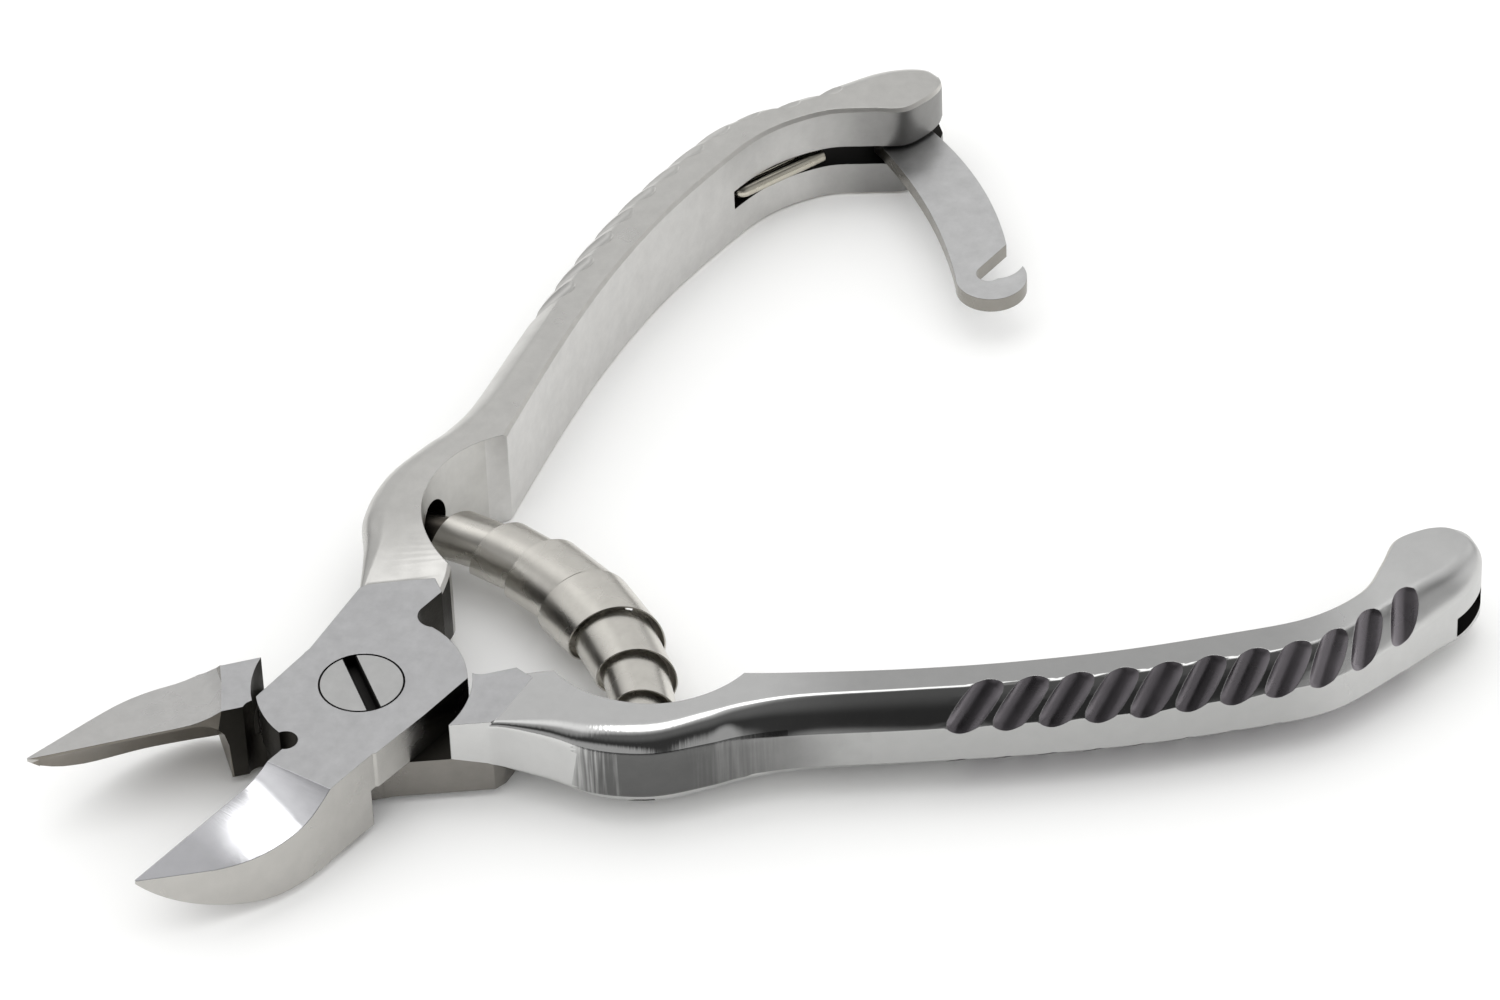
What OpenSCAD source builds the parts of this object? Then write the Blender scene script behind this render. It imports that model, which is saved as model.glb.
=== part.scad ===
// Nail nipper: two forged levers crossing in a screwed lap joint, a barrel spring
// between the heels and a hooked catch that holds the handles shut.
// Each lever is drawn closed, along X, and then swung open about the pivot.
// The origin is on the pivot axis, on the underside of the joint.

/* [Pose] */
// Angle that each lever is open from the closed position, in degrees
open_half = 18.2; // [0:0.1:20]

/* [Lap joint] */
// Thickness of the whole joint
joint_t = 8.6; // [8:0.1:10]
// Distance from the pivot to the edge of the catch lever's lap on the jaw's side
catch_near_w = 7.75; // [7.4:0.05:8.1]
// Distance from the pivot to the edge of the plain lever's lap on the jaw's side
plain_near_w = 6.8; // [6.6:0.05:7.2]
// Distance from the pivot to the edge of the lap on the handle's side
lap_far_w = 7.2; // [6.8:0.05:7.8]
// Radius of the round lobes of the lap
lobe_r = 10.1; // [9.8:0.05:10.6]
// Gap between a lobe and the shoulder that it swings past
lobe_gap = 0.45; // [0.3:0.05:0.7]
// Gap between the two rubbing faces of the lap
lap_gap = 0.06; // [0.04:0.01:0.1]
// Distance of a shoulder's inner edge from the closed centre line
shoulder_y = 2.3; // [2:0.05:2.8]
// Radius of the relief between the lap and the cutting edge
relief_r = 1.25; // [1.1:0.05:1.5]

/* [Pivot screw] */
// Diameter of the screw head
head_d = 8.2; // [7.6:0.1:8.8]
// Thickness of the screw head
head_t = 2.2; // [1.8:0.1:2.8]
// Diameter of the screw shank
shank_d = 5; // [4:0.1:5.6]
// Width of the screwdriver slot
driver_w = 1.15; // [0.8:0.05:1.6]
// Depth of the screwdriver slot
driver_depth = 1.3; // [0.8:0.1:1.4]
// Direction of the screwdriver slot in the open nipper, in degrees
driver_angle = 76; // [0:1:180]
// Running clearance round the screw and the pins
run_gap = 0.06; // [0.03:0.01:0.09]

/* [Jaws] */
// Distance from the pivot to the tip of the jaws
jaw_l = 32.8; // [31:0.1:35]
// Width of one jaw
jaw_w = 7.35; // [7:0.05:7.6]
// Distance from the pivot to where the outer side starts to curve in
jaw_apex_x = 14.5; // [14:0.1:15]
// Angle between the outer side near the tip and the cutting edge, in degrees
jaw_point_angle = 28.8; // [27:0.1:31]
// Drop of the cutting edge below the top of the joint
edge_drop = 1; // [0.8:0.05:1.3]
// Slope of the near jaw's ground top facet at its root, in degrees
catch_root_tilt = 3; // [1:0.5:6]
// Slope of the near jaw's ground top facet at its tip, in degrees
catch_tip_tilt = 24; // [20:0.5:26]
// Slope of the far jaw's ground top facet at its root, in degrees
plain_root_tilt = 8; // [6:0.5:10]
// Slope of the far jaw's ground top facet at its tip, in degrees
plain_tip_tilt = 4; // [2:0.5:8]
// Radius where the top facet runs out at the root
facet_r = 8; // [6:0.5:10]
// Distance from the pivot to where the near jaw's underside starts to rise to the tip
catch_belly_x = 19; // [18:0.1:20.5]
// Distance from the pivot to where the far jaw's underside starts to rise to the tip
plain_belly_x = 12.6; // [12:0.1:14]
// Distance from the pivot to the root of the hollow under the cutting edge
hollow_x = 13.2; // [13:0.1:14]
// Radius of the hollow's rounded root
hollow_r = 3.2; // [2.5:0.1:4]
// Thickness left at the cutting edge
edge_t = 0.3; // [0.2:0.05:0.6]
// Gap between the closed cutting edges
edge_gap = 0.06; // [0.04:0.01:0.2]

/* [Handles] */
// Height of a handle, along its flat inner face
handle_h = 11.1; // [10.6:0.1:11.5]
// Thickness of a handle, from the inner face to the outer land
handle_t = 6.2; // [5.9:0.1:7]
// Width of the upper outer slope of a handle
slope_w = 3; // [2.7:0.1:3.3]
// Width of the lower outer slope of a handle
low_slope_w = 5; // [4.6:0.1:5.4]
// Height of the outer side's upper edge above the middle of the joint
side_top_h = 2.9; // [2.5:0.1:3.2]
// Depth of the outer side's lower edge below the middle of the joint
side_low_h = 0.9; // [0.7:0.1:1.2]
// Depth of the handles below the middle of the joint
handle_low_h = 5.2; // [4.9:0.1:5.5]
// Distance from the pivot to the start of the grip
grip_x = 35; // [34.5:0.1:36]
// Distance of the inner face from the centre line at the start of the grip
grip_y = 11; // [10.8:0.1:11.6]
// Length of the grip up to the tail
grip_l = 53; // [48:0.5:60]
// Outward rise of the inner face along the grip
grip_rise = 9.5; // [9:0.1:10]
// Length of the rounded tail beyond the grip
tail_l = 19.4; // [18.6:0.1:20.4]
// Extra outward bow of the handle that carries the catch
catch_side_bow = 0.2; // [-0.2:0.1:0.6]
// Extra outward bow of the plain handle
plain_side_bow = -1.4; // [-2:0.1:0]
// Radius of the scooped spring seat in each heel
scoop_r = 10.8; // [10.4:0.1:11]
// Distance of the scoop's centre from the pivot
scoop_x = 28.5; // [28:0.1:29]
// Distance of the scoop's centre from the closed centre line
scoop_y = 2.4; // [2.1:0.1:2.6]

/* [Grip grooves] */
// Number of grooves in each row
groove_n = 11; // [8:1:12]
// Distance between grooves along the grip
groove_pitch = 4.25; // [3.8:0.05:4.3]
// Distance from the start of the grip to the first groove
groove_start = 19.6; // [18:0.1:21]
// Width of a groove
groove_w = 3; // [2.4:0.1:3.1]
// Depth of a groove
groove_depth = 0.75; // [0.4:0.05:0.85]
// Length of a groove between the middles of its round ends
groove_l = 5; // [3.6:0.1:5.2]
// Slant of the grooves from straight up the slope, in degrees
groove_slant = 36; // [20:1:45]

/* [Barrel spring] */
// Distance of the spring's axis from the pivot
spring_x = 28; // [27.5:0.1:28.5]
// Angle of a socket's floor from the closed centre line, in degrees
spring_end_angle = 30.2; // [29.6:0.1:30.6]
// Bow of the spring's axis from the straight line between its ends
spring_bow_h = 7.2; // [6.8:0.1:7.8]
// Outer radius of the end turns
spring_end_r = 2.3; // [2.2:0.05:2.4]
// Thickness of the spring strip
strip_t = 0.16; // [0.14:0.01:0.18]
// Width of the spring strip
strip_w = 6.1; // [5.9:0.1:6.2]
// Gap between one turn and the next
turn_gap = 0.47; // [0.46:0.01:0.52]
// Radius of the blind socket for each end
socket_r = 3; // [2.9:0.05:3.3]
// Gap between the spring's end and the socket's floor
end_gap = 0.05; // [0.03:0.01:0.15]
// Radius of the stud inside each end
stud_r = 1.4; // [1.2:0.05:1.45]
// Length of the stud that stands inside the spring
stud_l = 4.5; // [3:0.1:6]
// Depth of the stud in the heel
stud_depth = 3; // [2:0.1:3.2]

/* [Catch] */
// Thickness of the catch plate
catch_t = 1.6; // [1.4:0.1:1.8]
// Gap on each side of the catch in its slot
catch_gap = 0.35; // [0.25:0.05:0.45]
// Distance between the catch pin and the striker pin when locked
catch_l = 27.7; // [27.4:0.1:28.2]
// Swing of the catch from where it rests to where it locks, in degrees
catch_swing = 31.3; // [28:0.1:33]
// Radius of the round root of the catch
catch_root_r = 2.8; // [2.5:0.1:3]
// Radius of the catch pin
catch_pin_r = 1.25; // [1:0.05:1.4]
// Radius of the striker pin
striker_r = 1.1; // [0.9:0.05:1.2]
// Play of the striker pin in the hook
hook_gap = 0.15; // [0.1:0.05:0.25]
// Depth of the slot behind the inner face
slot_depth = 3.9; // [3.7:0.1:4]
// Radius of the catch spring's wire
wire_r = 0.7; // [0.5:0.05:0.7]
// Distance between the middle lines of the two legs of that spring
leg_space = 2; // [1.8:0.1:2.1]

/* [Hidden] */
$fn = 64;
steel = [0.76, 0.76, 0.75];
dark_steel = [0.62, 0.61, 0.59];
eps = 0.01;
seat_gap = 0.02;
mid_z = joint_t / 2;
wall_r = lobe_r + lobe_gap;
shank_r = shank_d / 2;
head_r = head_d / 2;
edge_z = joint_t - edge_drop;
handle_half = handle_h - handle_low_h;
low_share = handle_low_h / handle_half;
heel_half = handle_half * 0.98;
tail_half = handle_half * 0.99;
slot_half = catch_t / 2 + catch_gap;

// Inner face of the grip: a sine arch that starts to close again at the tail
grip_arch = 105;
function grip_inner(f) = [grip_x + f * grip_l, grip_y + grip_rise * sin(grip_arch * f)];
function grip_out(f) =
  let (slope = grip_rise * grip_arch * PI / 180 * cos(grip_arch * f) / grip_l)
  [-slope, 1] / norm([slope, 1]);
tail_x = grip_inner(1)[0];
tail_y = grip_inner(1)[1];

// Pins of the catch, both as seen in the closed nipper
catch_pin_xy = [tail_x + tail_l * 0.763, tail_y - tail_l * 0.258];
notch_x = -catch_pin_r * 0.32;
striker_xy = [catch_pin_xy[0] + notch_x, catch_l - catch_pin_xy[1]];
hook_r = catch_l * 0.131;
pin_low = mid_z - tail_half * low_share * 0.79;
pin_high = mid_z + tail_half * 0.62;

// Points of a smooth curve through the rows of a list
function curve_point(a, b, c, d, t) =
  0.5 * (2 * b + (c - a) * t + (2 * a - 5 * b + 4 * c - d) * t * t + (3 * b - a - 3 * c + d) * t * t * t);
function along(rows, u) =
  let (last = len(rows) - 1, i = min(last - 1, floor(u)))
  curve_point(rows[max(0, i - 1)], rows[i], rows[i + 1], rows[min(last, i + 2)], u - i);

// Rungs of a handle, each [inner x, inner y, outer x, outer y, height, roundness, upper slope share,
// lower slope share]
heel_l = grip_x - lobe_r;
function heel_rung(ix, iy, ox, oy, half, round_n, slope) = [lobe_r + ix * heel_l, shoulder_y + iy * heel_l,
  lobe_r + ox * heel_l, lap_far_w + oy * heel_l, half, round_n, slope, 1];
heel_rungs = [
  heel_rung(0.157, 0, -0.064, 0.048, mid_z * 0.84, 2, 0),
  heel_rung(0.277, 0.044, 0.028, 0.092, mid_z * 1.016, 2, 0),
  heel_rung(0.398, 0.116, 0.197, 0.217, mid_z * 1.21, 2, 0.5),
  heel_rung(0.538, 0.189, 0.34, 0.345, heel_half * 0.98, 2, 0.85),
  heel_rung(0.719, 0.249, 0.546, 0.427, heel_half, 2, 1),
  heel_rung(0.859, 0.297, 0.767, 0.436, handle_half, 1.8, 1)];
// Stations of the grip, each [share of its length, share of the handle's thickness, roundness]
grip_stations = [[0, 1.17, 1.6], [0.095, 1, 1.4], [0.28, 0.95, 1.25], [0.47, 0.97, 1.25],
  [0.66, 1.02, 1.25], [0.85, 1.05, 1.25], [1, 1.02, 1.3]];
grip_rungs = [for (g = grip_stations) let (p = grip_inner(g[0]), q = p + g[1] * handle_t * grip_out(g[0]))
  [p[0], p[1], q[0], q[1], handle_half, g[2], 1, 1]];
function tail_rung(ix, iy, ox, oy, half, round_n, slope) = [tail_x + ix * tail_l, tail_y + iy * tail_l,
  tail_x + ox * tail_l, tail_y + oy * tail_l, half, round_n, slope, slope];
tail_rungs = [
  tail_rung(0.309, -0.129, 0.438, 0.124, (handle_half + tail_half) / 2, 1.5, 1),
  tail_rung(0.474, -0.309, 0.66, 0.01, tail_half * 1.02, 1.7, 1),
  tail_rung(0.593, -0.46, 0.83, -0.081, tail_half, 1.8, 0.9),
  tail_rung(0.732, -0.501, 0.938, -0.184, tail_half * 0.99, 1.8, 0.75),
  tail_rung(0.845, -0.499, 0.995, -0.287, tail_half * 0.96, 1.9, 0.6),
  tail_rung(0.923, -0.468, 0.997, -0.375, tail_half * 0.9, 2, 0.5)];
rungs = concat(heel_rungs, grip_rungs, tail_rungs);
rung_parts = 6;
corner_angles = [90, 75, 60, 48, 36, 24, 12, 0];
inner_edge = handle_t * 0.055;
box_edge = handle_t * 0.11;

// The two handles are bowed a little differently between the heel and the tail
bow_l = grip_l + tail_l * 0.46;
function bow_at(x) =
  let (f = min(1, max(0, (x - grip_x) / bow_l)))
  sin(180 * pow(f, 1.35));

// Half of a handle's section: flat top, rounded outer slope and the outer side below it
function half_section(b, h, n, k, slope_l, side_z) =
  let (
    slope = box_edge + (slope_l - box_edge) * k,
    top = max(inner_edge * 2, b - slope),
    side = min(h - box_edge, (h - box_edge) * (1 - k) + side_z * k),
    wide = b - top)
  concat([[0, h - inner_edge], [inner_edge, h]],
    [for (a = corner_angles) [top + wide * pow(cos(a), 2 / n), side + (h - side) * pow(sin(a), 2 / n)]]);
function share_of(v) = min(1, max(0, v));
function low_round(n) = 1 + (n - 1) * 0.4;
function section_ring(row, bow) =
  let (
    p = [row[0], row[1] + bow * bow_at(row[0])],
    q = [row[2], row[3] + bow * bow_at(row[2])],
    b = norm(q - p),
    out = (q - p) / b,
    upper = half_section(b, row[4], row[5], share_of(row[6]), slope_w, side_top_h),
    lower = half_section(b, row[4] * low_share, low_round(row[5]), share_of(row[7]), low_slope_w, side_low_h),
    last = len(lower) - 1)
  concat([for (s = upper) [p[0] + s[0] * out[0], p[1] + s[0] * out[1], mid_z + s[1]]],
    [for (i = [last:-1:0]) let (s = lower[i]) [p[0] + s[0] * out[0], p[1] + s[0] * out[1], mid_z - s[1]]]);

// Closed skin over a list of rings with the same number of points
module skin(rings) {
  n = len(rings[0]);
  m = len(rings);
  points = [for (r = rings) each r];
  sides = [for (k = [0:m - 2], i = [0:n - 1]) let (j = (i + 1) % n, a = k * n)
    each [[a + i, a + j, a + n + i], [a + j, a + n + j, a + n + i]]];
  first = [for (i = [1:n - 2]) [0, i + 1, i]];
  last = [for (i = [1:n - 2]) let (a = (m - 1) * n) [a, a + i, a + i + 1]];
  polyhedron(points, concat(sides, first, last));
}

module handle_blank(bow) {
  count = (len(rungs) - 1) * rung_parts;
  skin([for (k = [0:count]) section_ring(along(rungs, k / rung_parts), bow)]);
}

// Middle of a handle's upper (1) or lower (-1) outer slope at a place along the rungs, and the way across it
function slope_spot(u, bow, side) =
  let (
    row = along(rungs, u),
    p = [row[0], row[1] + bow * bow_at(row[0])],
    q = [row[2], row[3] + bow * bow_at(row[2])],
    b = norm(q - p),
    out = (q - p) / b,
    wide = min(b - inner_edge * 2, side > 0 ? slope_w : low_slope_w),
    low_z = side > 0 ? side_top_h : side_low_h,
    rise = row[4] * (side > 0 ? 1 : low_share) - low_z,
    share = pow(cos(45), 2 / (side > 0 ? row[5] : low_round(row[5]))),
    reach = b - wide + wide * share)
  [p[0] + out[0] * reach, p[1] + out[1] * reach, low_z + rise * share, out[0], out[1], rise, wide];
spot_table = [for (u = [7:0.1:15]) [slope_spot(u, 0, 1)[0], u]];

// Round-ended cutter along Z for one groove
groove_r = (groove_w * groove_w / 4 + groove_depth * groove_depth) / (2 * groove_depth);
module groove_cutter() {
  rotate_extrude()
    intersection() {
      union() {
        translate([0, -groove_l / 2])
          square([groove_r, groove_l]);
        translate([0, groove_l / 2])
          circle(groove_r);
        translate([0, -groove_l / 2])
          circle(groove_r);
      }
      translate([0, -groove_l - groove_r])
        square([2 * groove_r, 2 * groove_l + 2 * groove_r]);
    }
}

// Slanted grooves in the upper and the lower outer slope of a handle
module grooves(bow) {
  for (i = [0:groove_n - 1], side = [-1, 1]) {
    u = lookup(grip_x + groove_start + i * groove_pitch, spot_table);
    spot = slope_spot(u, bow, side);
    step = slope_spot(u + 0.05, bow, side) - slope_spot(u - 0.05, bow, side);
    tangent = [step[0], step[1], 0] / norm([step[0], step[1]]);
    across = [-spot[3] * spot[6], -spot[4] * spot[6], side * spot[5]] / norm([spot[6], spot[5]]);
    normal = [spot[3] * spot[5], spot[4] * spot[5], side * spot[6]] / norm([spot[6], spot[5]]);
    axis = across * cos(groove_slant) + tangent * sin(groove_slant);
    lift = groove_r - groove_depth;
    translate([spot[0] + normal[0] * lift, spot[1] + normal[1] * lift, mid_z + side * spot[2] + normal[2] * lift])
      rotate([0, acos(axis[2] / norm(axis)), atan2(axis[1], axis[0])])
        groove_cutter();
  }
}

// Outline of a lap: two round lobes between its edges, the shoulder and the jaw
module lap_outline(near_w) {
  fillet_r = shoulder_y * 0.75;
  fillet_xy = [lobe_r * 1.149, shoulder_y - fillet_r];
  difference() {
    union() {
      intersection() {
        circle(lobe_r);
        polygon([[-2 * lobe_r, lap_far_w * 0.87], [lobe_r * 0.08, lap_far_w], [lobe_r * 1.03, lap_far_w * 1.26],
          [2 * lobe_r, lap_far_w], [2 * lobe_r, -near_w * 0.98], [0, -near_w],
          [-lobe_r * 0.6, -near_w * 0.975], [-2 * lobe_r, -near_w * 0.92]]);
      }
      polygon([[0, 0], [lobe_r * 0.9, fillet_xy[1]], [fillet_xy[0], fillet_xy[1]], [fillet_xy[0], shoulder_y],
        [lobe_r * 1.446, shoulder_y], [lobe_r * 1.554, shoulder_y * 1.78], [lobe_r * 1.149, lap_far_w * 1.18],
        [lobe_r * 1.03, lap_far_w * 1.26], [lobe_r * 0.08, lap_far_w], [0, lap_far_w]]);
      jaw_outline(near_w);
    }
    translate(fillet_xy)
      circle(fillet_r);
    translate([-lobe_r * 1.035, relief_r * 0.47])
      circle(relief_r);
  }
}

// One jaw seen from above: straight cutting edge, curved outer side, straight point
jaw_run = jaw_l - jaw_apex_x;
jaw_side_r = (jaw_run - jaw_w / tan(jaw_point_angle)) * sin(jaw_point_angle) / (1 - cos(jaw_point_angle));
jaw_arc_x = jaw_apex_x + jaw_side_r * sin(jaw_point_angle);
jaw_arc_y = jaw_w - jaw_side_r * (1 - cos(jaw_point_angle));
tip_blunt = jaw_l * 0.0107;
module jaw_outline(near_w) {
  edge_y = -edge_gap / 2;
  end_x = jaw_l - tip_blunt;
  end_y = tip_blunt * tan(jaw_point_angle);
  difference() {
    polygon([[0, edge_y], [-end_x, edge_y], [-end_x, -end_y], [-jaw_arc_x, -jaw_arc_y], [-jaw_arc_x, -jaw_w],
      [-jaw_apex_x, -jaw_w], [-jaw_apex_x * 0.84, -near_w * 0.943], [-lobe_r * 0.75, -near_w * 0.946],
      [0, -near_w * 0.935]]);
    difference() {
      translate([-jaw_arc_x - 1, -jaw_w - 1])
        square([jaw_arc_x + 1 - jaw_apex_x, 1 + jaw_w - jaw_arc_y]);
      translate([-jaw_apex_x, jaw_side_r - jaw_w])
        circle(jaw_side_r, $fn = 180);
    }
  }
}

// Width of a jaw at a distance from the pivot
function jaw_wide(x) = x < jaw_apex_x ? jaw_w
  : x < jaw_arc_x ? jaw_w - jaw_side_r + sqrt(jaw_side_r * jaw_side_r - pow(x - jaw_apex_x, 2))
  : (jaw_l - x) * tan(jaw_point_angle);

// Joint and jaw seen from the side, with the belly that rises to the tip
module side_outline(belly_x) {
  run = jaw_l - belly_x;
  belly_r = (run * run + edge_z * edge_z) / (2 * edge_z);
  difference() {
    translate([-jaw_l, 0])
      square([jaw_l + grip_x, joint_t]);
    difference() {
      translate([-jaw_l - 1, -1])
        square([jaw_l + 1 - belly_x, edge_z + 1]);
      translate([-belly_x, belly_r])
        circle(belly_r, $fn = 180);
    }
  }
}

// Top facet of a jaw: level along the edge, with a curved run-out at the root, and twisting to the tip
facet_x = jaw_apex_x * 1.207;
facet_run = (jaw_l - jaw_apex_x) * 0.6;
function facet_z(x) = x > facet_x ? edge_z : edge_z + facet_r - sqrt(facet_r * facet_r - pow(facet_x - x, 2));
function facet_fall(x, tilt) = tan(tilt[0] + (tilt[1] - tilt[0]) * min(1, max(0, (x - jaw_apex_x) / facet_run)));
module facet_cut(tilt) {
  steps = 24;
  start = facet_x - facet_r * 0.97;
  y_in = jaw_w * 0.3;
  y_out = -jaw_w * 1.4;
  top = 2 * joint_t;
  skin([for (k = [0:steps]) let (x = start + (jaw_l * 1.03 - start) * k / steps, z = facet_z(x), f = facet_fall(x, tilt))
    concat([[-x, y_in, top], [-x, y_out, top]],
      [for (i = [0:8]) let (y = y_out + (y_in - y_out) * i / 8) [-x, y, z + y * f]])]);
}

// Hollow ground under a cutting edge, open below, with a rounded root and a thin wall left outside
module hollow_cut(tilt) {
  steps = 20;
  stop = jaw_l * 0.955;
  y_in = jaw_w * 0.2;
  low = joint_t * 0.12;
  floor_z = -joint_t;
  skin([for (k = [0:steps])
    let (
      x = hollow_x + (stop - hollow_x) * pow(k / steps, 1.3),
      short = max(0, hollow_x + hollow_r - x),
      z = edge_z - edge_t - hollow_r + sqrt(hollow_r * hollow_r - short * short),
      w = jaw_wide(x) * 0.92 - edge_t * 1.5,
      fall = w * facet_fall(x, tilt),
      h = z - fall - low)
    concat([[-x, y_in, z]],
      [for (a = [0:15:90]) [-x, -w * sin(a), z - fall * sin(a) - h * (1 - cos(a))]],
      [[-x, -w, floor_z], [-x, y_in, floor_z]])]);
}

// Joint half and jaw of a lever; the other half of the lap is cut away from cut_z up by cut_h
module joint_and_jaw(cut_z, near_w, belly_x, tilt) {
  difference() {
    intersection() {
      linear_extrude(joint_t)
        lap_outline(near_w);
      translate([0, 2 * lobe_r, 0])
        rotate([90, 0, 0])
          linear_extrude(4 * lobe_r)
            side_outline(belly_x);
    }
    translate([0, 0, cut_z])
      cylinder(r = wall_r, h = joint_t);
    facet_cut(tilt);
    hollow_cut(tilt);
  }
}

// Arc of the open spring's axis between the floors of the two sockets
spring_turn = spring_end_angle + open_half;
spring_half = spring_x * sin(spring_turn);
bow_r = (spring_half * spring_half + spring_bow_h * spring_bow_h) / (2 * spring_bow_h);
bow_x = spring_x * cos(spring_turn) + spring_bow_h - bow_r;
bow_angle = asin(spring_half / bow_r);
spring_lean = spring_turn - bow_angle;

// Places a piece on the spring's axis at the floor of a socket, with +Z into the heel
module at_socket_floor() {
  rotate([0, 0, spring_end_angle])
    translate([spring_x, 0, mid_z])
      rotate([-90, 0, -spring_lean])
        children();
}

// A lever before its holes, with the lap cut away from cut_z up
module lever(bow, cut_z, near_w, belly_x, tilt) {
  difference() {
    union() {
      joint_and_jaw(cut_z, near_w, belly_x, tilt);
      handle_blank(bow);
    }
    translate([scoop_x, scoop_y, mid_z - handle_h])
      cylinder(r = scoop_r, h = 2 * handle_h);
    at_socket_floor()
      translate([0, 0, -socket_r])
        cylinder(r = socket_r, h = socket_r);
    at_socket_floor()
      translate([0, 0, -eps])
        cylinder(r = stud_r + seat_gap, h = stud_depth + seat_gap + eps);
    grooves(bow);
  }
}

module swing_catch_side() {
  rotate([0, 0, open_half])
    children();
}
module swing_plain_side() {
  rotate([0, 0, -open_half])
    mirror([0, 1, 0])
      children();
}

// Bore from below for a pin across a slot, closed at the top
module pin_bore(xy, r) {
  translate([xy[0], xy[1], mid_z - handle_h])
    cylinder(r = r + seat_gap, h = pin_high + seat_gap - mid_z + handle_h);
}

// Slot in the inner face for the catch and its spring, right through the tail
module catch_slot() {
  start_x = tail_x - tail_l * 0.255;
  fork_x = tail_x + tail_l * 0.438;
  floor_y = tail_y + catch_side_bow * 0.6 + slot_depth;
  far_x = tail_x + tail_l * 1.5;
  far_y = tail_y + 2 * handle_t;
  translate([0, 0, mid_z - slot_half])
    linear_extrude(2 * slot_half)
      polygon([[start_x, 0], [start_x, floor_y + tail_l * 0.015], [tail_x, floor_y - tail_l * 0.02],
        [tail_x + tail_l * 0.206, floor_y - tail_l * 0.093], [fork_x, floor_y - tail_l * 0.175],
        [fork_x, far_y], [far_x, far_y], [far_x, 0]]);
}

// Mortise in the plain tail, round like the path of the hook, that breaks out at the tail's end
module striker_slot() {
  intersection() {
    translate([striker_xy[0] - tail_l * 0.44, -handle_t, mid_z - slot_half])
      cube([tail_l * 0.69, tail_y + 4 * handle_t, 2 * slot_half]);
    translate([catch_pin_xy[0], -catch_pin_xy[1], mid_z - handle_h])
      cylinder(r = catch_l + hook_r * 1.2 + striker_r * 2, h = 2 * handle_h, $fn = 180);
  }
}

module catch_lever() {
  color(steel)
    swing_catch_side()
      difference() {
        lever(catch_side_bow, mid_z + lap_gap / 2 - joint_t, catch_near_w, catch_belly_x,
          [catch_root_tilt, catch_tip_tilt]);
        cylinder(r = shank_r + run_gap, h = joint_t);
        translate([0, 0, joint_t - head_t - run_gap])
          cylinder(r = head_r + run_gap, h = head_t + 1);
        catch_slot();
        pin_bore(catch_pin_xy, catch_pin_r);
      }
}

module plain_lever() {
  color(steel)
    swing_plain_side()
      difference() {
        lever(plain_side_bow, mid_z - lap_gap / 2, plain_near_w, plain_belly_x,
          [plain_root_tilt, plain_tip_tilt]);
        translate([0, 0, -1])
          cylinder(r = shank_r + seat_gap, h = joint_t);
        striker_slot();
        pin_bore(striker_xy, striker_r);
      }
}

module pivot_screw() {
  color(dark_steel)
    difference() {
      union() {
        cylinder(r = shank_r, h = joint_t - head_t + eps);
        translate([0, 0, joint_t - head_t])
          cylinder(r = head_r, h = head_t);
      }
      translate([0, 0, joint_t - driver_depth])
        rotate([0, 0, driver_angle])
          translate([-head_d, -driver_w / 2, 0])
            cube([2 * head_d, driver_w, driver_depth + 1]);
    }
}

// Barrel spring: one strip wound as two volutes that meet in the middle
// Each turn is a cup of one radius that steps down to the next within a short angle
half_turns = 3.5;
turn_steps = 24;
strip_n = round(2 * half_turns * turn_steps);
turn_step_r = strip_t + turn_gap;
step_share = 0.2;
spring_mid_r = spring_end_r + turn_step_r * (half_turns - 0.5);
spring_arc = 2 * bow_angle * PI / 180 * bow_r - 2 * end_gap;
core_lead = strip_w * 0.35;
turn_pitch = (spring_arc - strip_w - core_lead) / (2 * half_turns);
strip_phase = 180;
function strip_turn(k) = (k / strip_n - 0.5) * 2 * half_turns;
function strip_axial(u) = u * turn_pitch + core_lead * min(0.5, max(-0.5, u));
function strip_radius(u) =
  let (x = max(0, abs(u) - 0.5), f = min(1, (x - floor(x)) / step_share))
  spring_mid_r - turn_step_r * (floor(x) + f * f * (3 - 2 * f));
// Point of the spring at an arc length, a winding angle and a radius
function spring_point(s, w, r) =
  let (a = s / bow_r * 180 / PI, d = bow_r + r * cos(w))
  [bow_x + d * cos(a), d * sin(a), mid_z + r * sin(w)];
function strip_ring(k) =
  let (u = strip_turn(k), s = strip_axial(u), r = strip_radius(u), w = 360 * u + strip_phase)
  [for (c = [[-1, 0], [1, 0], [1, 1], [-1, 1]]) spring_point(s + c[0] * strip_w / 2, w, r - c[1] * strip_t)];

module barrel_spring() {
  rings = [for (k = [0:strip_n]) strip_ring(k)];
  // Least distance between one turn and the next, from points across the strip's two faces
  shares = [0, 0.25, 0.5, 0.75, 1];
  outer = [for (r = rings) [for (f = shares) r[0] * (1 - f) + r[1] * f]];
  inner = [for (r = rings) [for (f = shares) r[3] * (1 - f) + r[2] * f]];
  gaps = [for (k = [0:strip_n - turn_steps], j = [-1:1], a = [0:4], b = [0:4])
    let (m = min(strip_n, k + turn_steps + j))
    min(norm(outer[k][a] - inner[m][b]), norm(inner[k][a] - outer[m][b]))];
  echo(str("least gap between turns of the barrel spring: ", min(gaps), " mm"));
  color(dark_steel)
    skin(rings);
}

module spring_stud() {
  color(dark_steel)
    at_socket_floor()
      translate([0, 0, -stud_l])
        rotate_extrude()
          polygon([[0, 0], [stud_r * 0.64, 0], [stud_r, stud_r * 0.36], [stud_r, stud_l + stud_depth], [0, stud_l + stud_depth]]);
}
module rear_spring_stud() {
  swing_catch_side()
    spring_stud();
}
module front_spring_stud() {
  swing_plain_side()
    spring_stud();
}

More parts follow.
